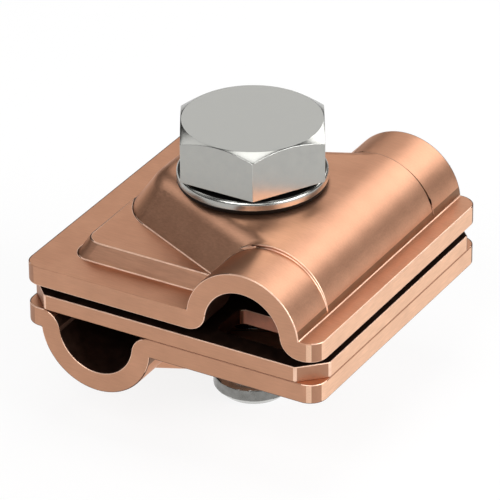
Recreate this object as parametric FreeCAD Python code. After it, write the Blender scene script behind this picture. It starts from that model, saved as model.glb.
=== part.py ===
import FreeCAD, Part

import math
import os

# Round conductor connector: a bolted clamp that joins two round conductors of 8 to 10 mm.
# Two formed copper plates of one shape, the lower one turned over, press one conductor each against
# a flat copper plate between them. One hexagon head bolt with a spring lock washer draws them together.
# Millimetres, +Z along the bolt towards its head, +Y along the conductors as they lie here.
# The origin is on the axis of the conductor in the lower channel, halfway along the channel.

Vector = FreeCAD.Vector
UP = Vector(0, 0, 1)
ALONG = Vector(0, 1, 0)

# Formed clamp plates
plate_length = 40.0
plate_width = 40.0
sheet = 2.5
plate_corner_radius = 2.2
conductor_radius = 5.0
channel_offset = 10.0
channel_depth = 6.6

# The low step that stiffens the plate around the boss
step_height = 2.0
step_run = 1.15
step_side_margin = 4.2
step_end_margin = 4.25
step_corner_radius = 2.2

# The boss that carries the washer and swells over the middle of the channel
boss_rise = 0.4
boss_length = 26.0
boss_run = 3.5
boss_nose_radius = 7.5
boss_flank_angle = 25.6
boss_flank_distance = 11.8
boss_blend = 3.5

# Flat plate between the two channels
middle_thickness = 2.0
middle_corner_cut = 3.0
slot_width = 10.6
slot_near = 11.4
slot_far = 17.0
slot_corner_radius = 1.0

# Gap between the upper plate and the middle plate, as the clamp stands with no conductor in it
closing_gap = 1.0

# Hexagon head bolt
bolt_diameter = 10.0
bolt_length = 30.5
bolt_point_cut = 0.8
head_across_flats = 17.0
head_height = 6.4
head_collar_height = 0.5
head_collar_diameter = 15.6
head_crown_diameter = 16.8
head_chamfer_angle = 32.0
# Direction of one corner of the head, anticlockwise from +X
head_azimuth = -60.0

# Spring lock washer, pressed flat
washer_diameter = 18.1
washer_thickness = 1.8
washer_edge_cut = 0.55
washer_split_gap = 0.8
washer_split_tilt = 20.0
washer_split_azimuth = 120.0

# Thread collar drawn inwards from the lower boss, short enough to clear the conductor beside it
collar_wall = 1.15
collar_length = 2.0

# Clearances, on the radius
hole_clearance = 0.5
washer_clearance = 0.3
thread_clearance = 0.05

# Smallest rounding left in an inside corner, and the number of strips in the inside of a bend
least_corner = 0.3
bend_layers = 4

# Heights closer together than this count as one level
same_level = 1e-6

# Sizes that follow
channel_axis = channel_depth - conductor_radius
boss_height = channel_depth + sheet + boss_rise
step_top = sheet + step_height
step_angle = math.atan2(step_height, step_run)
boss_angle = math.atan2(boss_height - step_top, boss_run)
boss_spread = step_height / math.tan(boss_angle)
# Where the washer lies on the upper boss, above the lower plate's clamping face
washer_seat = middle_thickness + closing_gap + boss_height
flank = math.radians(boss_flank_angle)
bolt_radius = bolt_diameter / 2
tool_reach = plate_length + plate_width


def rounded_wire(corners, height):
    """Closed outline through (x, y, radius) corners, listed anticlockwise, at one height."""
    edges = []
    ends = []
    count = len(corners)
    for i in range(count):
        before = Vector(*corners[i - 1][:2], height)
        here = Vector(*corners[i][:2], height)
        after = Vector(*corners[(i + 1) % count][:2], height)
        radius = corners[i][2]
        if radius == 0:
            ends.append((here, here, None))
            continue
        arriving = (before - here).normalize()
        leaving = (after - here).normalize()
        half = arriving.getAngle(leaving) / 2
        reach = radius / math.tan(half)
        middle = here + (arriving + leaving).normalize() * (radius / math.sin(half) - radius)
        ends.append((here + arriving * reach, here + leaving * reach, middle))
    for i in range(count):
        start, finish, middle = ends[i]
        if middle is not None:
            edges.append(Part.Arc(start, middle, finish).toShape())
        edges.append(Part.LineSegment(finish, ends[(i + 1) % count][0]).toShape())
    return Part.Wire(edges)


def rectangle(x0, x1, y0, y1, radius, height):
    """Outline of a rectangle with four equal round corners."""
    return rounded_wire([(x0, y0, radius), (x1, y0, radius), (x1, y1, radius), (x0, y1, radius)], height)


def block(x0, x1, y0, y1, z0, z1):
    return Part.makeBox(x1 - x0, y1 - y0, z1 - z0, Vector(x0, y0, z0))


def drum(radius, z0, z1):
    return Part.makeCylinder(radius, z1 - z0, Vector(0, 0, z0), UP)


def channel(rise, offset, half_length):
    """Tunnel over the conductor: round above, straight below its widest place, down to the clamping face."""
    radius = conductor_radius + sheet - offset
    centre = channel_axis + rise
    start = Vector(channel_offset, -half_length, centre)
    round_part = Part.makeCylinder(radius, 2 * half_length, start, ALONG)
    near = channel_offset - radius
    below = block(near, near + 2 * radius, -half_length, half_length, -sheet, centre)
    under_face = block(-tool_reach, tool_reach, -tool_reach, tool_reach, -tool_reach, -offset / 2)
    return round_part.fuse(below).cut(under_face).removeSplitter()


def channel_lips(rise, half_length):
    """The flare of the channel's mouth into the clamping face, an arc of one sheet on each side."""
    outer = conductor_radius + sheet
    centre = channel_axis + rise
    spread = math.sqrt(outer ** 2 - (sheet - centre) ** 2)
    near = channel_offset - spread
    flare = block(near, near + 2 * spread, -half_length, half_length, -sheet / 2, sheet)
    for side in (-1, 1):
        bend = Vector(channel_offset + side * spread, -tool_reach / 2, sheet)
        flare = flare.cut(Part.makeCylinder(sheet, tool_reach, bend, ALONG))
    inner_top = centre + conductor_radius * (sheet - centre) / outer
    above = block(-tool_reach, tool_reach, -tool_reach, tool_reach, inner_top, tool_reach)
    return flare.cut(above)


def step_outline(inset, height, radius):
    low = -plate_width / 2 + step_side_margin + inset
    end = plate_length / 2 - step_end_margin - inset
    corners = [(low, -end, radius), (channel_offset, -end, 0), (channel_offset, end, 0), (low, end, radius)]
    return rounded_wire(corners, height)


def step_form():
    """The outside of the step."""
    low = step_outline(0, sheet, step_corner_radius)
    high = step_outline(step_run, step_top, step_corner_radius)
    return Part.makeLoft([low, high], True, True)


def step_hollow():
    """The inside of the step, one sheet under its outside, with a round bend into the clamping face."""
    levels = []
    for i in range(bend_layers + 1):
        turn = step_angle * i / bend_layers
        levels.append((sheet * math.sin(turn), sheet * (1 - math.cos(turn))))
    levels.append((sheet * math.tan(step_angle / 2) + step_run, step_height))
    outlines = []
    for inset, height in levels:
        outlines.append(step_outline(inset, height, max(step_corner_radius - inset, least_corner)))
    return Part.makeLoft(outlines, True, True)


def on_level(edge, height):
    return all(abs(v.Z - height) < same_level for v in edge.Vertexes)


def boss_outline(inset, height):
    """Blunt wedge: a straight side away from the channel, and two flanks that widen towards it."""
    side = -plate_width / 2 + step_side_margin + step_run - boss_spread + inset
    distance = boss_flank_distance + boss_spread - inset
    radius = max(boss_nose_radius + boss_spread - inset, least_corner)
    nose = flank_y(distance, side)
    wide = flank_y(distance, channel_offset)
    far = channel_offset
    corners = [(side, -nose, radius), (far, -wide, 0), (far, wide, 0), (side, nose, radius)]
    return rounded_wire(corners, height)


def flank_y(distance, x):
    """Half width between the flanks at x, where each lies at the given distance from the bolt's axis."""
    return (distance + x * math.sin(flank)) / math.cos(flank)


def boss_levels(offset):
    """Inset and height of the boss's foot and rim, on the outside of the sheet or one sheet further in."""
    bend = offset * math.tan(boss_angle / 2)
    run = (boss_height - sheet) / math.tan(boss_angle)
    return bend, sheet - offset, bend + run, boss_height - offset


def boss_form():
    """The outside of the boss, with a round rim."""
    foot, base, rim, top = boss_levels(0)
    form = Part.makeLoft([boss_outline(foot, base), boss_outline(rim, top)], True, True)
    top_edges = [e for e in form.Edges if on_level(e, top)]
    rim_edges = [e for e in top_edges if e.CenterOfMass.x < channel_offset - same_level]
    return flanks_trimmed(form.makeFillet(boss_blend, rim_edges), 0)


def boss_hollow():
    """The inside of the boss, one sheet under its outside, with its rim cut to a bevel."""
    foot, base, rim, top = boss_levels(sheet)
    reach = max(boss_blend - sheet, least_corner) * math.tan(boss_angle / 2)
    levels = [(foot, base), (rim - reach * math.cos(boss_angle), top - reach * math.sin(boss_angle))]
    levels.append((rim + reach, top))
    return flanks_trimmed(Part.makeLoft([boss_outline(i, z) for i, z in levels], True, True), sheet)


def flanks_trimmed(form, offset):
    """Stops the boss's widening flanks where its swelling over the channel ends."""
    end = boss_length / 2 - offset
    for y0, y1 in ((-tool_reach, -end), (end, tool_reach)):
        form = form.cut(block(trim_start(end, offset), tool_reach, y0, y1, -tool_reach, tool_reach))
    return form


def trim_start(end, offset):
    """Where the rim of a flank reaches the end of the swelling."""
    rim = boss_levels(offset)[2]
    return (end * math.cos(flank) - boss_flank_distance + rim - boss_spread) / math.sin(flank)


def clamp_plate():
    """One formed plate with its clamping face on z = 0, its channel at +X and its forms upwards."""
    half_length = plate_length / 2
    outline = rectangle(-plate_width / 2, plate_width / 2, -half_length, half_length, plate_corner_radius, 0)
    blank = Part.Face(outline)
    outside = blank.extrude(UP * sheet)
    forms = [channel(0, 0, half_length), channel(boss_rise, 0, boss_length / 2), step_form(), boss_form()]
    for form in forms:
        outside = outside.fuse(form)
    outside = outside.common(blank.extrude(UP * (2 * boss_height)))
    past = half_length + sheet
    inside = channel(0, sheet, past)
    hollows = [channel_lips(0, past), channel(boss_rise, sheet, boss_length / 2 - sheet)]
    hollows += [channel_lips(boss_rise, boss_length / 2 - sheet), step_hollow(), boss_hollow()]
    for hollow in hollows:
        inside = inside.fuse(hollow)
    return outside.cut(inside).removeSplitter()


def upper_clamp_plate():
    hole = drum(bolt_radius + hole_clearance, 0, 2 * boss_height)
    plate = clamp_plate().cut(hole)
    plate.translate(Vector(0, 0, middle_thickness + closing_gap))
    return plate


def lower_clamp_plate():
    """The same plate turned over about the conductors' direction, with a thread collar in its boss."""
    bore_radius = bolt_radius + thread_clearance
    roof = boss_height - sheet
    collar = drum(bore_radius + collar_wall, roof - collar_length, roof + sheet / 2)
    conductor_start = Vector(channel_offset, -tool_reach / 2, channel_axis)
    collar = collar.cut(Part.makeCylinder(conductor_radius, tool_reach, conductor_start, ALONG))
    bore = drum(bore_radius, 0, 2 * boss_height)
    plate = clamp_plate().fuse(collar).cut(bore).removeSplitter()
    plate.rotate(Vector(0, 0, 0), ALONG, 180)
    return plate


def intermediate_plate():
    half_x = plate_width / 2
    half_y = plate_length / 2
    points = []
    for sx, sy in ((-1, -1), (1, -1), (1, 1), (-1, 1)):
        cut_x = Vector(sx * (half_x - middle_corner_cut), sy * half_y, 0)
        cut_y = Vector(sx * half_x, sy * (half_y - middle_corner_cut), 0)
        points += [cut_y, cut_x] if sx == sy else [cut_x, cut_y]
    plate = Part.Face(Part.makePolygon(points + points[:1])).extrude(UP * middle_thickness)
    # one slot under each mouth of the two channels, its edges grip the conductor
    reach = slot_width / 2
    for x in (-channel_offset, channel_offset):
        for y0, y1 in ((-slot_far, -slot_near), (slot_near, slot_far)):
            outline = rectangle(x - reach, x + reach, y0, y1, slot_corner_radius, 0)
            plate = plate.cut(Part.Face(outline).extrude(UP * middle_thickness))
    return plate.cut(drum(bolt_radius + hole_clearance, 0, middle_thickness))


def spring_washer():
    """Split ring with bevelled outer edges, lying on the upper boss."""
    inner = bolt_radius + washer_clearance
    outer = washer_diameter / 2
    cut = washer_edge_cut
    section = [(inner, 0), (outer - cut, 0), (outer, cut)]
    section += [(outer, washer_thickness - cut), (outer - cut, washer_thickness), (inner, washer_thickness)]
    points = [Vector(radius, 0, height) for radius, height in section]
    ring = Part.Face(Part.makePolygon(points + points[:1])).revolve(Vector(0, 0, 0), UP, 360)
    split = block(0, 2 * outer, -washer_split_gap / 2, washer_split_gap / 2, -outer, outer)
    split.rotate(Vector(0, 0, washer_thickness / 2), Vector(1, 0, 0), washer_split_tilt)
    split.rotate(Vector(0, 0, 0), UP, washer_split_azimuth)
    ring = ring.cut(split)
    ring.translate(Vector(0, 0, washer_seat))
    return ring


def hex_bolt():
    """Hexagon head on a low round collar, chamfered above, and a shank cut to a blunt point."""
    corner_radius = head_across_flats / math.sqrt(3)
    corners = []
    for i in range(6):
        a = math.radians(head_azimuth + 60 * i)
        corners.append(Vector(corner_radius * math.cos(a), corner_radius * math.sin(a), head_collar_height))
    hexagon = Part.Face(Part.makePolygon(corners + corners[:1]))
    head = hexagon.extrude(UP * (head_height - head_collar_height))
    drop = math.tan(math.radians(head_chamfer_angle))
    crown = head_crown_diameter / 2
    cone_foot = head_height - (2 * corner_radius - crown) * drop
    cone_start = Vector(0, 0, cone_foot)
    crown_cone = Part.makeCone(2 * corner_radius, crown, head_height - cone_foot, cone_start, UP)
    head = head.common(crown_cone.fuse(drum(2 * corner_radius, -head_height, cone_foot)))
    head = head.fuse(drum(head_collar_diameter / 2, 0, head_collar_height + head_height / 4))
    shank = drum(bolt_radius, -bolt_length + bolt_point_cut, head_height / 2)
    tip = Vector(0, 0, -bolt_length)
    point = Part.makeCone(bolt_radius - bolt_point_cut, bolt_radius, bolt_point_cut, tip, UP)
    bolt = head.fuse(shank).fuse(point).removeSplitter()
    bolt.translate(Vector(0, 0, washer_seat + washer_thickness))
    return bolt


nodes = {
    "lower_clamp_plate": lower_clamp_plate(),
    "intermediate_plate": intermediate_plate(),
    "upper_clamp_plate": upper_clamp_plate(),
    "spring_washer": spring_washer(),
    "hex_bolt": hex_bolt(),
}

# From the bolt's axis and the lower clamping face to the axis of the conductor in the lower channel
to_frame = Vector(channel_offset, 0, channel_axis)

os.makedirs("parts", exist_ok=True)
for name, shape in nodes.items():
    shape.translate(to_frame)
    shape.exportStep("parts/" + name + ".step")
    box = shape.BoundBox
    print(name, "solids", len(shape.Solids), "valid", shape.isValid(), "volume", round(shape.Volume, 1),
          "x", round(box.XMin, 2), round(box.XMax, 2), "y", round(box.YMin, 2), round(box.YMax, 2),
          "z", round(box.ZMin, 2), round(box.ZMax, 2))
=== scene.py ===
# %% [markdown]
# # A bolted clamp for round conductors
# Two pressed copper plates and a flat one between them are drawn together by one bolt with a spring
# washer. Each pressed plate has a channel for a conductor of 8 to 10 mm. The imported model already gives
# every part its true place and size, so this lesson is about looks: soft edges, a real thread, brushed
# copper, plain steel, and quiet studio light.

import math

import bmesh
import bpy
from mathutils import Matrix, Vector


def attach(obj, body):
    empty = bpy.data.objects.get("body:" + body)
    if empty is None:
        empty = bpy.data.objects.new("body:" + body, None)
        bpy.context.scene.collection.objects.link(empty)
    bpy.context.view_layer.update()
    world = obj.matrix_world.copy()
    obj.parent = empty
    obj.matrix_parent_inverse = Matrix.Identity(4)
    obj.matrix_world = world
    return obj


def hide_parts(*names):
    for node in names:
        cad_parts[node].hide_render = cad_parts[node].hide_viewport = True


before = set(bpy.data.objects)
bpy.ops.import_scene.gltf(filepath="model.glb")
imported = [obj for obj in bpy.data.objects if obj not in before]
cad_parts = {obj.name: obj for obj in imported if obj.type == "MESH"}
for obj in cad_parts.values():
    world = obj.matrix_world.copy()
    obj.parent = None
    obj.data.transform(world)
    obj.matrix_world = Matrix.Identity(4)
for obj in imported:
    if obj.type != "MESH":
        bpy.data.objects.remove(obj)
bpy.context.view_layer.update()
MM = 0.001
print("nodes:", sorted(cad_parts))

# %% [markdown]
# ## Sizes that the pieces share
# The washer and the bolt stand on one upright axis, 10 mm from the origin. Each height below is where
# one piece meets the next, so they are named once and used by all.

# %% Shared sizes
BOLT_X = 10.0 * MM
WASHER_SEAT = 14.1 * MM
HEAD_SEAT = 15.9 * MM
HEAD_TOP = 22.3 * MM
BOLT_TIP = -14.6 * MM
UPPER_SEAT = 4.6 * MM
FRONT = Vector((0.5, -0.866, 0))
print("bolt length under the head:", round((HEAD_SEAT - BOLT_TIP) / MM, 2), "mm")


# %% [markdown]
# ## From a mesh to a piece
# A mesh only shows once an object carries it and the scene holds that object. The modifiers used here are
# there to make the shape, not to stay, so the second helper turns their result into plain faces.

# %% Two helpers for pieces
def add_piece(name, mesh):
    piece = bpy.data.objects.new(name, mesh)
    bpy.context.scene.collection.objects.link(piece)
    return piece


def bake_modifiers(piece):
    graph = bpy.context.evaluated_depsgraph_get()
    mesh = bpy.data.meshes.new_from_object(piece.evaluated_get(graph))
    mesh.name = piece.name
    piece.modifiers.clear()
    piece.data = mesh
    print(piece.name, "has", len(mesh.polygons), "faces")


# %% [markdown]
# ## Soft edges
# Every sharp edge gets a small radius, and the edges that look away from the front get all of it. Two
# roundings that leave one point side by side would cut into each other. So the radius of an edge shrinks
# when its middle is near such a point, or near the place where a line of edges ends.

# %% Helpers for soft edges
EDGE_RADIUS = 0.24 * MM
EDGE_STEPS = 3
SHARP = math.radians(28)
NARROW = math.radians(20)
NARROW_FOR_SHORT = math.radians(35)
SHORT = 1.0 * MM
FRONT_SHARE = 0.5
BACK_GAIN = 4
UPRIGHT = 0.99
TAPER_REACH = 1.5 * MM
TAPER_GAIN = 1.25
print("edge radius:", round(EDGE_RADIUS / MM, 2), "mm")


def side_by_side(a, b):
    """True for two edges that leave a point too close together to be rounded. Short ones need more room."""
    both_short = max(a.length, b.length) < SHORT
    return a.angle(b) < (NARROW_FOR_SHORT if both_short else NARROW)


def narrow_tips(sharp):
    """Places where a line of sharp edges ends, or where two of them leave one point side by side."""
    ways = {}
    for edge in sharp:
        for vert in edge.verts:
            ways.setdefault(vert, []).append(edge.other_vert(vert))
    tips = []
    for vert, ends in ways.items():
        out = [end.co - vert.co for end in ends]
        line_ends = len(ends) == 1 and len(ways[ends[0]]) > 1
        if line_ends or any(side_by_side(a, b) for i, a in enumerate(out) for b in out[:i]):
            tips.append(vert.co.copy())
    return tips


def mark_edges(mesh, upright_share):
    """Write the share of the radius that each sharp edge gets: all of it towards the back, half of it
    elsewhere, its own share when upright, and less and less near a narrow tip."""
    shape = bmesh.new()
    shape.from_mesh(mesh)
    weight = shape.edges.layers.float.new("bevel_weight_edge")
    sharp = [edge for edge in shape.edges if edge.calc_face_angle(0) > SHARP]
    tips = narrow_tips(sharp)
    for edge in sharp:
        middle = (edge.verts[0].co + edge.verts[1].co) / 2
        nearest = min([(middle - tip).length for tip in tips] + [TAPER_REACH])
        looks = (edge.link_faces[0].normal + edge.link_faces[1].normal).normalized()
        share = FRONT_SHARE + (1 - FRONT_SHARE) * min(max(looks.dot(-FRONT) * BACK_GAIN, 0), 1)
        if abs(edge.verts[0].co.z - edge.verts[1].co.z) > UPRIGHT * edge.calc_length():
            share = max(share, upright_share)
        edge[weight] = share * max(0.0, nearest / TAPER_REACH * TAPER_GAIN - (TAPER_GAIN - 1))
    shape.to_mesh(mesh)
    shape.free()
    print(mesh.name, "has", len(sharp), "sharp edges and", len(tips), "narrow tips")


def soften(piece, finishes, held_back=False, upright_share=FRONT_SHARE):
    """Give the sharp edges of a piece their radius, which gets the second finish."""
    for finish in finishes:
        piece.data.materials.append(finish)
    piece.data.shade_smooth()
    mark_edges(piece.data, upright_share)
    bevel = piece.modifiers.new("soft edges", "BEVEL")
    bevel.width = EDGE_RADIUS
    bevel.segments = EDGE_STEPS
    bevel.limit_method = "WEIGHT"
    bevel.material = 1
    bevel.use_clamp_overlap = held_back
    piece.modifiers.new("even shading", "WEIGHTED_NORMAL")
    bake_modifiers(piece)


# %% [markdown]
# ## The copper plates
# The real plates are cut and pressed from sheet, so their shape is already right in the solid model, but
# every edge there is perfectly sharp. A sharp edge never catches light, and a pressed one always does.
# A copy of each solid is merged, because it arrives as loose triangles. The needless edges in its flat
# faces are dissolved, and a Bevel rounds what is left, inside corners as well as outside ones.

# %% Name the finishes, to be made further down
# Several of these finishes paint light or shade: the pale edge, side and torn copper and the edge steel are
# painted highlights or painted light, and the dark edge, inside, corner and fold copper and the thread steel
# are painted shade.
copper = bpy.data.materials.new("brushed copper")
copper_edge_lit = bpy.data.materials.new("copper edge with painted highlight")
copper_shade = bpy.data.materials.new("copper edge with painted shade")
copper_side_lit = bpy.data.materials.new("sheared copper side, painted lighter")
copper_end = bpy.data.materials.new("sheared copper end")
copper_inside_shaded = bpy.data.materials.new("copper inside with painted shade")
copper_corner_shaded = bpy.data.materials.new("copper corner with painted shade")
copper_torn_lit = bpy.data.materials.new("torn copper, painted lighter")
copper_fold_shaded = bpy.data.materials.new("copper fold with painted shade")
steel = bpy.data.materials.new("bright steel")
steel_edge_lit = bpy.data.materials.new("steel edge with painted highlight")
steel_thread_shaded = bpy.data.materials.new("thread steel with painted shade")
copper_finishes = (
    copper, copper_edge_lit, copper_shade, copper_side_lit, copper_end, copper_inside_shaded, copper_corner_shaded, copper_torn_lit,
    copper_fold_shaded)
steel_finishes = (steel, steel_edge_lit, steel_thread_shaded)
for finish in copper_finishes + steel_finishes:
    finish.use_nodes = True
print("finishes:", [finish.name for finish in copper_finishes + steel_finishes])


# %% Copy the plates and soften them
MERGE_DISTANCE = 0.05 * MM
FLAT_ANGLE = math.radians(0.5)
AIR_BETWEEN = 0.01 * MM


def merged_copy(node, name):
    mesh = bpy.data.meshes.new(name)
    shape = bmesh.new()
    shape.from_mesh(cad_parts[node].data)
    bmesh.ops.remove_doubles(shape, verts=shape.verts, dist=MERGE_DISTANCE)
    bmesh.ops.dissolve_limit(
        shape, angle_limit=FLAT_ANGLE, use_dissolve_boundaries=False,
        verts=shape.verts, edges=shape.edges, delimit=set())
    shape.to_mesh(mesh)
    shape.free()
    return add_piece(name, mesh)


upper_plate = merged_copy("upper_clamp_plate", "upper_plate_pressed")
lower_plate = merged_copy("lower_clamp_plate", "lower_plate_pressed")
flat_plate = merged_copy("intermediate_plate", "flat_plate_cut")
for plate in (upper_plate, lower_plate):
    soften(plate, copper_finishes)
soften(flat_plate, copper_finishes, upright_share=1.0)
for vert in upper_plate.data.vertices:
    vert.co.z = max(vert.co.z, UPPER_SEAT + AIR_BETWEEN)

# %% [markdown]
# ## One finish for each kind of face
# A pressed plate does not look the same all over. Its broad faces keep the grain of the rolled sheet. Its
# sides were sheared and then dressed, and they are painted brighter, a painted highlight. Inside, where the
# conductor lies, the faces are painted almost black, a painted shade. Edges that face the front get a
# painted highlight, the others get a painted shade, and so do the steep walls that look sideways and the
# corners. The far walls of the slots are rough, as if torn, and painted pale, painted light. The way a face
# looks and where it lies are enough to tell these apart, so no face has to be picked by hand.

# %% Tell the faces apart
PLATE_EDGE = 19.6 * MM
SLOT_END = 17.6 * MM
UPPER_CHANNEL = (20.0 * MM, 6.2 * MM)
LOWER_CHANNEL = (0.0, 0.0)
CHANNEL_REACH = 5.75 * MM
FLANGE_TOP = 7.1 * MM
FLANGE_BAND = 0.15 * MM
SEAM = 1.6 * MM
SEAM_BAND = 0.3 * MM
CORNER_ZONE = 17 * MM
SQUARE_ON = 0.97


def lines_channel(face, channel):
    """True for a face of the channel's inside, which looks at the conductor's axis."""
    out = Vector((face.center.x - channel[0], 0, face.center.z - channel[1]))
    looks_in = out.dot(face.normal) < -0.3 * out.length and abs(face.normal.y) < 0.5
    return looks_in and out.length < CHANNEL_REACH


def at_side(face):
    return abs(face.center.x - BOLT_X) > PLATE_EDGE


def at_end(face):
    return abs(face.center.y) > PLATE_EDGE


def at_corner(face):
    inner = min(abs(face.center.x - BOLT_X), abs(face.center.y)) < CORNER_ZONE
    return not inner and max(abs(face.normal.x), abs(face.normal.y), abs(face.normal.z)) < SQUARE_ON


# The faces picked by these three tests, the channels' insides and the clamping faces, are painted almost
# black, a painted shade.
def dark_in_upper(face):
    return face.normal.z < -0.6 or lines_channel(face, UPPER_CHANNEL)


def dark_in_lower(face):
    return lines_channel(face, LOWER_CHANNEL)


def dark_in_flat(face):
    inner = max(abs(face.center.x - BOLT_X), abs(face.center.y)) < SLOT_END
    return face.normal.z > SQUARE_ON or (inner and face.normal.y > -0.7 and face.normal.z > -0.5)


# %% Give each face its finish
BROAD, EDGE_LIT, SHADE, SIDE_LIT, END, INSIDE_SHADED, CORNER_SHADED, TORN_LIT, FOLD_SHADED = range(len(copper_finishes))


def sort_faces(plate, dark):
    """Write each face's place in copper_finishes, from where it lies and the way it looks."""
    counts = [0] * len(copper_finishes)
    for face in plate.data.polygons:
        normal = face.normal
        is_edge = face.material_index == EDGE_LIT
        if dark(face):
            face.material_index = INSIDE_SHADED
        elif is_edge:
            # Edges turned away from the front get a painted shade, and the others get a painted highlight.
            turned_away = normal.y > 0.05 or (normal.x < -0.2 and normal.y > -0.5)
            face.material_index = SHADE if turned_away else EDGE_LIT
        # Sides turned partly towards the back get a painted shade.
        elif 0.15 < normal.y < 0.5 and at_side(face):
            face.material_index = SHADE
        # Corners are painted darker, a painted shade, except those turning to the right and the front, which
        # are painted lighter.
        elif at_corner(face) and not (0.3 < normal.x < 0.55 or normal.x > 0.9):
            face.material_index = CORNER_SHADED
        elif at_corner(face):
            face.material_index = SIDE_LIT
        # The long sides are painted lighter, a painted highlight; steep walls within the plate get the fold
        # copper, a painted shade.
        elif abs(normal.x) > SQUARE_ON:
            face.material_index = SIDE_LIT if at_side(face) else FOLD_SHADED
        elif at_end(face):
            face.material_index = END
        counts[face.material_index] += 1
    print(plate.name, "faces by finish:", counts)


sort_faces(upper_plate, dark_in_upper)
sort_faces(lower_plate, dark_in_lower)
sort_faces(flat_plate, dark_in_flat)

# %% Change the painted light and shade of some edges, and paint the slots' far walls lighter
for face in upper_plate.data.polygons:
    if face.material_index == EDGE_LIT and at_end(face) and abs(face.center.z - FLANGE_TOP) < FLANGE_BAND:
        face.material_index = END
for face in lower_plate.data.polygons:
    along = min(abs(face.center.x - BOLT_X), abs(face.center.y))
    # The seam edge of the lower plate gets the darker corner copper, a painted shade.
    if face.material_index == EDGE_LIT and abs(face.center.z - SEAM) < SEAM_BAND and along < CORNER_ZONE:
        face.material_index = CORNER_SHADED
    # The bottom edges of the lower plate get a painted shade.
    elif face.material_index == EDGE_LIT and face.normal.z < -0.1:
        face.material_index = SHADE
for face in flat_plate.data.polygons:
    # The far walls of the slots are painted pale: painted light.
    if face.material_index == BROAD and face.normal.y < -0.9 and not at_end(face):
        face.material_index = TORN_LIT
    elif face.material_index == EDGE_LIT and face.normal.z < -0.1:
        face.material_index = END
print("torn slot walls:", sum(face.material_index == TORN_LIT for face in flat_plate.data.polygons), "faces")

# %% [markdown]
# ## The bolt head
# A hexagon head is forged, then turned on top, and the turned cone cuts a curved line into each of its six
# sides. A ring of points at one angle after another gives those curves for free: each ring asks how far
# out the hexagon is at its angle, and the cone gives the height there.

# %% Size the head
ACROSS_FLATS = 17.0 * MM
CROWN_RADIUS = 8.4 * MM
CROWN_SLOPE = math.tan(math.radians(32))
COLLAR_RADIUS = 7.8 * MM
COLLAR_TOP = HEAD_SEAT + 0.5 * MM
SHANK_RADIUS = 5.0 * MM
CORNER_ANGLE = math.radians(-60)
HEAD_STEPS = 6 * 20


def hexagon_radius(angle):
    """Distance from the axis to the side of the hexagon at one angle."""
    from_corner = (angle - CORNER_ANGLE) % math.radians(60)
    return ACROSS_FLATS / 2 / math.cos(from_corner - math.radians(30))


print("across corners:", round(2 * hexagon_radius(CORNER_ANGLE) / MM, 2), "mm")


# %% Build the head ring by ring
def head_rings(angle):
    """Radius and height of each point from the middle of the top to the foot of the collar."""
    side = hexagon_radius(angle)
    shoulder = HEAD_TOP - (side - CROWN_RADIUS) * CROWN_SLOPE
    rings = [(CROWN_RADIUS * share, HEAD_TOP) for share in (0.25, 0.5, 0.75, 1.0)]
    rings += [((CROWN_RADIUS + side) / 2, (HEAD_TOP + shoulder) / 2), (side, shoulder)]
    rings += [(side, (shoulder + COLLAR_TOP) / 2), (side, COLLAR_TOP), (COLLAR_RADIUS, COLLAR_TOP)]
    return rings + [(COLLAR_RADIUS, HEAD_SEAT), (SHANK_RADIUS * 0.8, HEAD_SEAT)]


shape = bmesh.new()
top = shape.verts.new((BOLT_X, 0, HEAD_TOP))
bottom = shape.verts.new((BOLT_X, 0, HEAD_SEAT))
columns = []
for i in range(HEAD_STEPS):
    turn = CORNER_ANGLE + math.tau * i / HEAD_STEPS
    column = []
    for radius, height in head_rings(turn):
        column.append(shape.verts.new((BOLT_X + radius * math.cos(turn), radius * math.sin(turn), height)))
    columns.append(column)
for i in range(HEAD_STEPS):
    here, after = columns[i], columns[(i + 1) % HEAD_STEPS]
    shape.faces.new((top, here[0], after[0]))
    for a, b, c, d in zip(here, here[1:], after[1:], after):
        shape.faces.new((a, b, c, d))
    shape.faces.new((here[-1], bottom, after[-1]))
bmesh.ops.recalc_face_normals(shape, faces=shape.faces)
head_mesh = bpy.data.meshes.new("bolt_head")
shape.to_mesh(head_mesh)
shape.free()
bolt_head = add_piece("bolt_head", head_mesh)
soften(bolt_head, steel_finishes, held_back=True)

# %% [markdown]
# ## The thread
# A thread is one profile that climbs as it turns, so it follows a rule, and a Geometry Nodes tree can state
# that rule. It starts from a flat grid. One side of the grid becomes the way along the helix and the other
# side becomes the profile, from one crest to the next. Neighbouring turns share their points, which are
# then merged. The height is held between the two ends, and the radius is held inside a cone at the tip, so
# both ends close by themselves. An M10 thread climbs 1.5 mm a turn, and fades out over the plain end.

# %% Helpers for node trees
def add_node(tree, kind, settings=None, **links):
    """Add a node, set its properties, and fill its inputs with values or other nodes' outputs."""
    node = tree.nodes.new(kind)
    for key, value in (settings or {}).items():
        setattr(node, key, value)
    for key, value in links.items():
        socket = node.inputs[int(key[1:])] if key[0] == "_" else node.inputs[key.replace("_", " ")]
        if isinstance(value, bpy.types.NodeSocket):
            tree.links.new(value, socket)
        else:
            socket.default_value = value
    return node


def sums(tree, operation, *values):
    """One Math node, as a short call."""
    inputs = {"_" + str(i): value for i, value in enumerate(values)}
    return add_node(tree, "ShaderNodeMath", {"operation": operation}, **inputs).outputs[0]


# %% Write the thread's rule
PROFILE_POINTS = 13
CREST_END = 1 / 16
ROOT_START = 3 / 8
GROOVE_GROWS_OVER = 0.8 * MM
WELD_DISTANCE = 0.004 * MM


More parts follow.
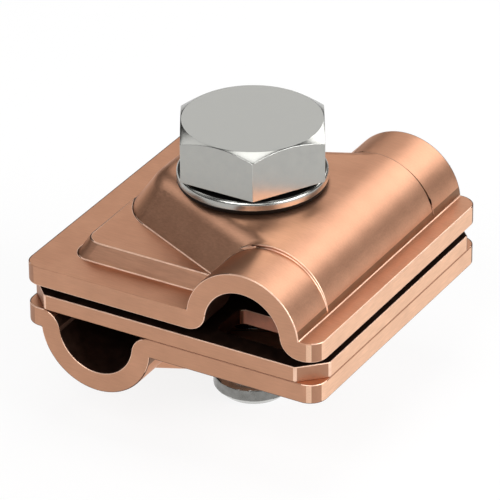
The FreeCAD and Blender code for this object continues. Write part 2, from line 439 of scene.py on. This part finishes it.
def thread_tree(sizes):
    tree = bpy.data.node_groups.new("thread", "GeometryNodeTree")
    tree.interface.new_socket("Geometry", in_out="INPUT", socket_type="NodeSocketGeometry")
    for name in sizes:
        tree.interface.new_socket(name, in_out="INPUT", socket_type="NodeSocketFloat")
    tree.interface.new_socket("Finish", in_out="INPUT", socket_type="NodeSocketMaterial")
    tree.interface.new_socket("Geometry", in_out="OUTPUT", socket_type="NodeSocketGeometry")
    given = tree.nodes.new("NodeGroupInput").outputs
    turns = sums(tree, "ADD", sums(tree, "DIVIDE", sums(tree, "SUBTRACT", given["Top"], given["Bottom"]),
                                   given["Pitch"]), 2.0)
    whole_turns = sums(tree, "CEIL", turns)
    along = sums(tree, "ADD", sums(tree, "MULTIPLY", whole_turns, given["Steps"]), 1.0)
    grid = add_node(tree, "GeometryNodeMeshGrid", None, Size_X=1.0, Size_Y=1.0, Vertices_X=along,
                    Vertices_Y=PROFILE_POINTS)
    position = add_node(tree, "GeometryNodeInputPosition").outputs[0]
    flat = add_node(tree, "ShaderNodeSeparateXYZ", None, _0=position)
    turn = sums(tree, "MULTIPLY", sums(tree, "ADD", flat.outputs[0], 0.5), whole_turns)
    profile = sums(tree, "ADD", flat.outputs[1], 0.5)
    turns_up = sums(tree, "ADD", turn, sums(tree, "SUBTRACT", profile, 1.0))
    height = sums(tree, "ADD", given["Bottom"], sums(tree, "MULTIPLY", turns_up, given["Pitch"]))
    held = add_node(tree, "ShaderNodeClamp", None, Value=height, Min=given["Bottom"],
                    Max=given["Top"]).outputs[0]
    from_crest = sums(tree, "ABSOLUTE", sums(tree, "SUBTRACT", profile, 0.5))
    slope = add_node(tree, "ShaderNodeMapRange", {"clamp": True}, Value=from_crest, From_Min=CREST_END,
                     From_Max=ROOT_START, To_Min=0.0, To_Max=1.0).outputs[0]
    plain_top = sums(tree, "ADD", given["Bottom"], given["Plain End"])
    full_depth = sums(tree, "ADD", plain_top, GROOVE_GROWS_OVER)
    grown = add_node(tree, "ShaderNodeMapRange", {"clamp": True}, Value=held, From_Min=plain_top,
                     From_Max=full_depth, To_Min=0.0, To_Max=1.0).outputs[0]
    cut = sums(tree, "MULTIPLY", sums(tree, "MULTIPLY", slope, grown), given["Depth"])
    grooved = sums(tree, "SUBTRACT", given["Crest Radius"], cut)
    above_tip = sums(tree, "SUBTRACT", held, given["Bottom"])
    cone = sums(tree, "ADD", given["Tip Radius"], above_tip)
    pointed = sums(tree, "MINIMUM", grooved, cone)
    below_top = sums(tree, "SUBTRACT", given["Top"], held)
    neck = sums(tree, "SUBTRACT", given["Crest Radius"], below_top)
    radius = sums(tree, "MAXIMUM", pointed, neck)
    angle = sums(tree, "MULTIPLY", turn, math.tau)
    x = sums(tree, "ADD", given["Axis X"], sums(tree, "MULTIPLY", radius, sums(tree, "COSINE", angle)))
    y = sums(tree, "MULTIPLY", radius, sums(tree, "SINE", angle))
    place = add_node(tree, "ShaderNodeCombineXYZ", None, X=x, Y=y, Z=held)
    wound = add_node(tree, "GeometryNodeSetPosition", None, Geometry=grid.outputs[0],
                     Position=place.outputs[0])
    joined = add_node(tree, "GeometryNodeMergeByDistance", None, Geometry=wound.outputs[0],
                      Distance=WELD_DISTANCE)
    solid = add_node(tree, "GeometryNodeRealizeInstances", None, Geometry=joined.outputs[0])
    finished = add_node(tree, "GeometryNodeSetMaterial", None, Geometry=solid.outputs[0],
                        Material=given["Finish"])
    out = tree.nodes.new("NodeGroupOutput")
    tree.links.new(finished.outputs[0], out.inputs[0])
    return tree


thread_sizes = {
    "Axis X": BOLT_X, "Crest Radius": 4.97 * MM, "Tip Radius": 4.05 * MM, "Depth": 0.88 * MM,
    "Pitch": 1.5 * MM, "Plain End": 2.3 * MM, "Bottom": BOLT_TIP, "Top": HEAD_SEAT - 1.0 * MM, "Steps": 54.0,
}
tree = thread_tree(thread_sizes)
bolt_thread = add_piece("bolt_thread", bpy.data.meshes.new("bolt_thread"))
winding = bolt_thread.modifiers.new("thread", "NODES")
winding.node_group = tree
for item in tree.interface.items_tree:
    if item.in_out == "INPUT" and item.name in thread_sizes:
        winding[item.identifier] = thread_sizes[item.name]
    if item.in_out == "INPUT" and item.name == "Finish":
        winding[item.identifier] = steel_thread_shaded
bake_modifiers(bolt_thread)


# %% Close the two ends of the thread
def closed(piece):
    """Fill the open rims of a piece and point every face outwards."""
    shape = bmesh.new()
    shape.from_mesh(piece.data)
    bmesh.ops.dissolve_degenerate(shape, edges=shape.edges, dist=0.001 * MM)
    bmesh.ops.holes_fill(shape, edges=[edge for edge in shape.edges if edge.is_boundary], sides=0)
    bmesh.ops.recalc_face_normals(shape, faces=shape.faces)
    print(piece.name, "volume", round(shape.calc_volume() / MM ** 3, 1), "mm3")
    shape.to_mesh(piece.data)
    shape.free()


closed(bolt_thread)
bolt_thread.data.shade_smooth()
bolt_thread.data.set_sharp_from_angle(angle=math.radians(35))

# %% [markdown]
# ## The spring washer
# A spring lock washer is one turn of square-edged wire with a slanted cut. Its section is a rectangle with
# round corners, swept almost once round the axis. Near its two ends the section leans over, so that the
# cut is slanted, and each end is closed with one face.

# %% Size the washer
WASHER_INNER = 5.3 * MM
WASHER_OUTER = 9.05 * MM
WASHER_THICKNESS = HEAD_SEAT - WASHER_SEAT
WASHER_EDGE = 0.5 * MM
WASHER_INNER_EDGE = 0.15 * MM
WASHER_CUT_ANGLE = math.radians(120)
WASHER_CUT_GAP = 0.8 * MM
WASHER_CUT_TILT = math.tan(math.radians(20))
WASHER_LEAN_FADE = 12
WASHER_STEPS = 160
CORNER_STEPS = 6


def washer_section():
    """Radius and height of the points round the section, from the inner foot outwards."""
    corners = [
        (WASHER_INNER, 0, WASHER_INNER_EDGE, 180), (WASHER_OUTER, 0, WASHER_EDGE, 270),
        (WASHER_OUTER, WASHER_THICKNESS, WASHER_EDGE, 0),
        (WASHER_INNER, WASHER_THICKNESS, WASHER_INNER_EDGE, 90)]
    points = []
    for x, z, rounding, start in corners:
        centre_x = x + rounding if x == WASHER_INNER else x - rounding
        centre_z = z + rounding if z == 0 else z - rounding
        for i in range(CORNER_STEPS + 1):
            a = math.radians(start + 90 * i / CORNER_STEPS)
            points.append((centre_x + rounding * math.cos(a), centre_z + rounding * math.sin(a)))
    return points


print("points round the section:", len(washer_section()))

# %% Sweep the section round the axis
shape = bmesh.new()
sections = []
for i in range(WASHER_STEPS + 1):
    share = i / WASHER_STEPS
    lean = max(0.0, 1 - min(share, 1 - share) * WASHER_LEAN_FADE)
    section = []
    for radius, height in washer_section():
        half_gap = WASHER_CUT_GAP / 2 / radius
        slant = (height - WASHER_THICKNESS / 2) * WASHER_CUT_TILT / radius * lean
        turn = WASHER_CUT_ANGLE + half_gap + (math.tau - 2 * half_gap) * share - slant
        place = (BOLT_X + radius * math.cos(turn), radius * math.sin(turn), WASHER_SEAT + height)
        section.append(shape.verts.new(place))
    sections.append(section)
for here, after in zip(sections, sections[1:]):
    for a, b, c, d in zip(here, here[1:] + here[:1], after[1:] + after[:1], after):
        shape.faces.new((a, b, c, d))
shape.faces.new(sections[0])
shape.faces.new(sections[-1])
bmesh.ops.recalc_face_normals(shape, faces=shape.faces)
washer_mesh = bpy.data.meshes.new("spring_washer_ring")
shape.to_mesh(washer_mesh)
shape.free()
washer = add_piece("spring_washer_ring", washer_mesh)
washer_mesh.shade_smooth()
washer_mesh.set_sharp_from_angle(angle=math.radians(40))
print("washer faces:", len(washer_mesh.polygons))

# %% [markdown]
# ## Tie each piece to its body
# On the real clamp the plates swing round the bolt, and the bolt turns as it closes them. The imported model
# already holds those joints, so each dressed piece only has to name the body it rides on and the plain piece
# it stands in for. The thread is an extra that rides with its bolt.

# %% Tie the pieces to the bodies they move with
for piece, body, node, finish in (
        (upper_plate, "upper_plate", "upper_clamp_plate", "copper"),
        (lower_plate, "lower_plate", "lower_clamp_plate", "copper"),
        (flat_plate, "middle_plate", "intermediate_plate", "copper"),
        (washer, "washer", "spring_washer", "stainless_steel"),
        (bolt_head, "bolt", "hex_bolt", "stainless_steel")):
    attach(piece, body)
    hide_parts(node)
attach(bolt_thread, "bolt")
print("bodies dressed:", len({"upper_plate", "lower_plate", "middle_plate", "washer", "bolt"}))

# %% [markdown]
# ## A toolbox for metal finishes
# Every finish here is metal: its colour is the colour of its reflections, and its roughness says how far
# they blur. A metal in one even tone looks like plastic, so noise varies both a little. The noise reads
# Object coordinates, in metres from the clamp's origin, and so it stays put when a plate swings. Stretching
# the noise along one axis draws it out into the fine lines that rolling and brushing leave.

# %% Helpers for finishes
def noise(tree, where, scale, detail=3.0):
    """Noise with its own scale along each axis, per metre; a small scale draws it out into lines."""
    stretched = add_node(tree, "ShaderNodeMapping", None, Vector=where, Scale=scale)
    return add_node(tree, "ShaderNodeTexNoise", None, Vector=stretched.outputs[0], Scale=1.0, Detail=detail,
                    Roughness=0.6).outputs["Fac"]


def spread(tree, value, low, high, start=0.3, end=0.7):
    return add_node(tree, "ShaderNodeMapRange", None, Value=value, From_Min=start, From_Max=end, To_Min=low,
                    To_Max=high).outputs[0]


def mixed(tree, factor, low, high):
    return add_node(tree, "ShaderNodeMix", {"data_type": "FLOAT"}, _0=factor, _2=low, _3=high).outputs[0]


def mixed_tone(tree, factor, low, high, blend="MIX"):
    return add_node(tree, "ShaderNodeMix", {"data_type": "RGBA", "blend_type": blend}, _0=factor,
                    _6=(*low, 1) if isinstance(low, tuple) else low,
                    _7=(*high, 1) if isinstance(high, tuple) else high).outputs[2]


def metal(material, tint=(1, 1, 1)):
    """Make the shader a metal's, and hand back what the next nodes are tied to."""
    tree = material.node_tree
    skin = tree.nodes["Principled BSDF"]
    skin.inputs["Metallic"].default_value = 1.0
    skin.inputs["Specular Tint"].default_value = (*tint, 1)
    return tree, skin, add_node(tree, "ShaderNodeTexCoord").outputs["Object"]


# %% [markdown]
# ## Brushed copper
# The plates are bare copper. Its lines run along X on the broad faces and on the two ends, where the shear
# only rubbed them duller, and along Y on the two long sides, which are dressed and painted paler, a painted
# highlight. Broad soft clouds stand for the browning that handling and air bring. A very small bump lets the
# lines break up highlights, and a thin clear coat lays a second, softer one over them.

# %% Copper
def brushed(material, grain, dark, light, smooth, dull):
    """Copper with fine lines along the grain, and soft clouds where hands and air have browned it."""
    tree, skin, where = metal(material, (0.95, 0.68, 0.52))
    skin.inputs["Coat Weight"].default_value = 0.35
    skin.inputs["Coat Roughness"].default_value = 0.4
    lines = noise(tree, where, grain)
    clouds = noise(tree, where, (220, 220, 220), 2.0)
    tone = mixed_tone(tree, spread(tree, clouds, 0, 1), dark, light)
    worn = mixed_tone(tree, spread(tree, lines, 0, 1), (0.92, 0.91, 0.90), (1.07, 1.08, 1.09))
    tree.links.new(mixed_tone(tree, 1.0, tone, worn, "MULTIPLY"), skin.inputs["Base Color"])
    tree.links.new(spread(tree, lines, smooth, dull), skin.inputs["Roughness"])
    bump = add_node(tree, "ShaderNodeBump", None, Height=lines, Strength=0.4, Distance=0.02 * MM)
    tree.links.new(bump.outputs[0], skin.inputs["Normal"])
    print(material.name, "lines", round(1000 / max(grain), 2), "mm apart")


brushed(copper, (500, 5200, 5200), (0.55, 0.28, 0.172), (0.61, 0.32, 0.20), 0.36, 0.46)
brushed(copper_end, (500, 5200, 5200), (0.53, 0.285, 0.175), (0.59, 0.32, 0.20), 0.56, 0.64)
# The long sides are painted paler: a painted highlight.
brushed(copper_side_lit, (5200, 500, 5200), (0.76, 0.50, 0.35), (0.83, 0.55, 0.385), 0.56, 0.64)


# %% [markdown]
# ## Copper edges, corners and the inside, with painted light and shade
# The front edges are painted pale and bright, a painted highlight, while the edges behind and the steep
# walls that look sideways are painted brown, a painted shade. The corners are painted darker than the ends
# beside them, a painted shade. The torn walls of the slots are quite dull, and painted pale, painted light.
# The channels and the clamping faces are painted almost black, a painted shade, which is why the openings
# look almost black. These areas are narrow or deep in shade, so one small noise is all the detail they need.

# %% Copper edges and the inside, with painted light and shade
def plain_copper(material, dark, light, smooth, dull):
    tree, skin, where = metal(material)
    wear = noise(tree, where, (900, 900, 900))
    tree.links.new(mixed_tone(tree, spread(tree, wear, 0, 1), dark, light), skin.inputs["Base Color"])
    tree.links.new(spread(tree, wear, smooth, dull), skin.inputs["Roughness"])
    print(material.name)


# The pale edge copper is a painted highlight, and the dark edge copper is a painted shade.
plain_copper(copper_edge_lit, (0.82, 0.52, 0.38), (0.95, 0.66, 0.50), 0.40, 0.48)
plain_copper(copper_shade, (0.08, 0.04, 0.026), (0.13, 0.065, 0.042), 0.40, 0.48)
# Darker corner copper: a painted shade.
plain_copper(copper_corner_shaded, (0.39, 0.205, 0.13), (0.44, 0.235, 0.15), 0.5, 0.56)
# Pale, rough copper for the slots' far walls: painted light.
plain_copper(copper_torn_lit, (0.85, 0.50, 0.38), (0.95, 0.60, 0.45), 0.9, 1.0)
# Brown copper for the steep walls in the folds: a painted shade.
plain_copper(copper_fold_shaded, (0.24, 0.13, 0.075), (0.28, 0.15, 0.09), 0.46, 0.52)
# Nearly black copper for the channels and clamping faces: a painted shade.
plain_copper(copper_inside_shaded, (0.05, 0.026, 0.018), (0.085, 0.043, 0.03), 0.5, 0.6)

# %% [markdown]
# ## Bright steel
# The bolt and the washer are stainless steel: pale, smoother than the copper, and faintly mottled. The two
# narrow rings where the head meets the washer and the washer meets the plate are painted almost black, a
# painted shade for the shadow in those gaps. Those rings lie at fixed heights, so a band in the Object
# coordinates' Z marks them. The thread is painted darker, a painted shade, and the rim of its tip is painted
# paler, a painted highlight.

# %% Steel
tree, skin, where = metal(steel)
height = add_node(tree, "ShaderNodeSeparateXYZ", None, _0=where).outputs["Z"]


def between(tree, value, low, high, soft):
    """1 inside the band and 0 outside it, with soft edges."""
    entered = spread(tree, value, 0, 1, low - soft, low)
    left = spread(tree, value, 1, 0, high, high + soft)
    return sums(tree, "MULTIPLY", entered, left)


# Painted shade: a band at the seat of the head and a band at the seat of the washer are painted almost black
# and dull, for the shadow in those gaps.
painted_shade_under_head = between(tree, height, HEAD_SEAT - 0.04 * MM, COLLAR_TOP + 0.01 * MM, 0.03 * MM)
painted_shade_under_washer = between(tree, height, WASHER_SEAT - 0.1 * MM, WASHER_SEAT + 0.68 * MM, 0.08 * MM)
painted_shade_rings = sums(tree, "MAXIMUM", painted_shade_under_head, painted_shade_under_washer)
mottle = noise(tree, where, (900, 900, 900), 4.0)
bright = mixed_tone(tree, spread(tree, mottle, 0, 1), (0.39, 0.39, 0.37), (0.42, 0.42, 0.395))
tone = mixed_tone(tree, painted_shade_rings, bright, (0.015, 0.013, 0.012))
tree.links.new(tone, skin.inputs["Base Color"])
tree.links.new(mixed(tree, painted_shade_rings, spread(tree, mottle, 0.22, 0.27), 0.6), skin.inputs["Roughness"])


def plain_steel(material, dark, light, dull, smooth):
    tree, skin, where = metal(material)
    wear = noise(tree, where, (900, 900, 900), 3.0)
    tree.links.new(mixed_tone(tree, spread(tree, wear, 0, 1), dark, light), skin.inputs["Base Color"])
    tree.links.new(spread(tree, wear, dull, smooth), skin.inputs["Roughness"])
    print(material.name)


# The paler, smoother edge steel is a painted highlight on the head's edges and the bolt's tip; the darker
# thread steel is a painted shade.
plain_steel(steel_edge_lit, (0.42, 0.42, 0.40), (0.52, 0.52, 0.50), 0.2, 0.14)
plain_steel(steel_thread_shaded, (0.19, 0.19, 0.18), (0.28, 0.28, 0.27), 0.3, 0.2)

# %% Give the washer and the thread their steel
TIP_BAND = 1.0 * MM
washer_mesh.materials.append(steel)
bolt_thread.data.materials.clear()
bolt_thread.data.materials.append(steel_thread_shaded)
bolt_thread.data.materials.append(steel_edge_lit)
# The thread gets the darker steel, a painted shade, and the faces of its tip get the paler edge steel, a
# painted highlight.
for face in bolt_thread.data.polygons:
    at_tip = face.center.z < BOLT_TIP + TIP_BAND and face.normal.z < -0.5
    face.material_index = 1 if at_tip else 0
print("the tip of the bolt is bright")

# %% [markdown]
# ## A pale floor
# The clamp stands on the tip of its bolt on a sheet of white paper. Paper that is only lit would turn grey
# away from the lamps, so the rays that come from the camera or from a shiny surface see it glow softly at
# white, and all other rays see plain paper. The rest of the mix still takes the clamp's shadow.

# %% Floor
FLOOR_HALF = 3.0
GLOW_SHARE = 0.85
corners = [(-FLOOR_HALF, -FLOOR_HALF, BOLT_TIP), (FLOOR_HALF, -FLOOR_HALF, BOLT_TIP),
           (FLOOR_HALF, FLOOR_HALF, BOLT_TIP), (-FLOOR_HALF, FLOOR_HALF, BOLT_TIP)]
floor_mesh = bpy.data.meshes.new("studio_floor")
floor_mesh.from_pydata(corners, [], [(0, 1, 2, 3)])
floor = add_piece("studio_floor", floor_mesh)
paper = bpy.data.materials.new("pale paper")
paper.use_nodes = True
tree = paper.node_tree
tree.nodes.clear()
ray = add_node(tree, "ShaderNodeLightPath")
seen = sums(tree, "MAXIMUM", ray.outputs["Is Camera Ray"], ray.outputs["Is Glossy Ray"])
seen = sums(tree, "MAXIMUM", seen, ray.outputs["Is Transmission Ray"])
share = sums(tree, "MULTIPLY", seen, GLOW_SHARE)
dull = add_node(tree, "ShaderNodeBsdfDiffuse", None, Color=(0.9, 0.9, 0.9, 1))
glow = add_node(tree, "ShaderNodeEmission", None, Color=(1, 1, 1, 1), Strength=1.0)
mix = add_node(tree, "ShaderNodeMixShader", None, _0=share, _1=dull.outputs[0], _2=glow.outputs[0])
add_node(tree, "ShaderNodeOutputMaterial", None, Surface=mix.outputs[0])
floor_mesh.materials.append(paper)
print("floor", 2 * FLOOR_HALF, "m wide")

# %% [markdown]
# ## Almost no light from the world
# The world around the floor stays nearly black, as the dark bands in the metal need something dark to
# mirror. All the light comes from the lamps.

# %% World
WORLD_STRENGTH = 0.02
world = bpy.data.worlds.new("studio")
bpy.context.scene.world = world
world.use_nodes = True
world.node_tree.nodes["Background"].inputs["Color"].default_value = (1, 1, 1, 1)
world.node_tree.nodes["Background"].inputs["Strength"].default_value = WORLD_STRENGTH
print("world strength", WORLD_STRENGTH)


# %% [markdown]
# ## Soft lamps all round
# Metal shows the lamps themselves, so their places decide where its bright bands lie. Eight soft panels
# stand round the clamp like those of a photo tent. The strong ones are at the right and in front, the weak
# ones at the left, where the boss falls into shade. The brightness of each is the tone that a white mirror
# would show, so it is turned into power through the area of the lamp.

# %% Lamps
def softbox(name, bearing, rise, width, height, brightness, distance=0.6):
    """A soft lamp that faces the clamp, at a bearing from +X and a rise over the floor, in degrees."""
    lamp = bpy.data.lights.new(name, "AREA")
    lamp.shape = "RECTANGLE"
    lamp.size = width
    lamp.size_y = height
    lamp.energy = brightness * math.pi * width * height
    holder = bpy.data.objects.new(name, lamp)
    bpy.context.scene.collection.objects.link(holder)
    around, over = math.radians(bearing), math.radians(rise)
    away = Vector((math.cos(around) * math.cos(over), math.sin(around) * math.cos(over), math.sin(over)))
    holder.location = Vector((BOLT_X, 0, 0)) + away * distance
    holder.rotation_euler = away.to_track_quat("Z", "Y").to_euler()
    print(name, "brightness", brightness)


softbox("right_panel", 0, 25, 0.45, 0.35, 7.0)
softbox("back_right_panel", 76.5, 34, 0.44, 0.26, 3.55)
softbox("back_left_panel", 120, 30, 0.3, 0.3, 1.15)
softbox("left_panel", 180, 45, 0.3, 0.3, 1.35)
softbox("left_front_fill", 210, 30, 0.3, 0.3, 0.4)
softbox("front_panel", 270, 40, 0.3, 0.3, 5.4)
softbox("front_right_panel", 300, 35, 0.3, 0.3, 2.0)
softbox("top_panel", 0, 90, 0.3, 0.3, 2.8)

# %% [markdown]
# ## The camera
# The photograph was taken from far away with a long lens, about 30 degrees to the right of the clamp's
# front and 30 degrees above it. The camera looks along its own -Z axis, so its three axes are worked out
# from those two angles and a very small roll, and then written into its matrix. Its focal length was found
# in pixels of the photograph, which is 500 pixels wide, and is turned into millimetres of sensor.

# %% Camera
LOOKED_AT = Vector((10.0, 0, 4.474)) * MM
CAMERA_DISTANCE = 547.68 * MM
SIDE_SHIFT = 0.399 * MM
FOCAL_PIXELS = 4585.2
PHOTO_PIXELS = 500
SENSOR_WIDTH = 36
azimuth = math.radians(30.184)
elevation = math.radians(29.579)
roll = math.radians(-0.439)
flat = math.cos(elevation)
back = Vector((math.sin(azimuth) * flat, -math.cos(azimuth) * flat, math.sin(elevation)))
right = Vector((math.cos(azimuth), math.sin(azimuth), 0))
up = back.cross(right)
across = right * math.cos(roll) + up * math.sin(roll)
upward = up * math.cos(roll) - right * math.sin(roll)
place = LOOKED_AT + back * CAMERA_DISTANCE - across * SIDE_SHIFT
camera_data = bpy.data.cameras.new("camera")
camera_data.sensor_width = SENSOR_WIDTH
camera_data.lens = FOCAL_PIXELS / PHOTO_PIXELS * SENSOR_WIDTH
camera_data.clip_start = 0.01
camera_data.clip_end = 20
camera = bpy.data.objects.new("camera", camera_data)
bpy.context.scene.collection.objects.link(camera)
camera.matrix_world = Matrix.Translation(place) @ Matrix((across, upward, back)).transposed().to_4x4()
bpy.context.scene.camera = camera
bpy.context.scene.view_settings.view_transform = "Standard"
print("camera at", [round(c / MM) for c in place], "mm")
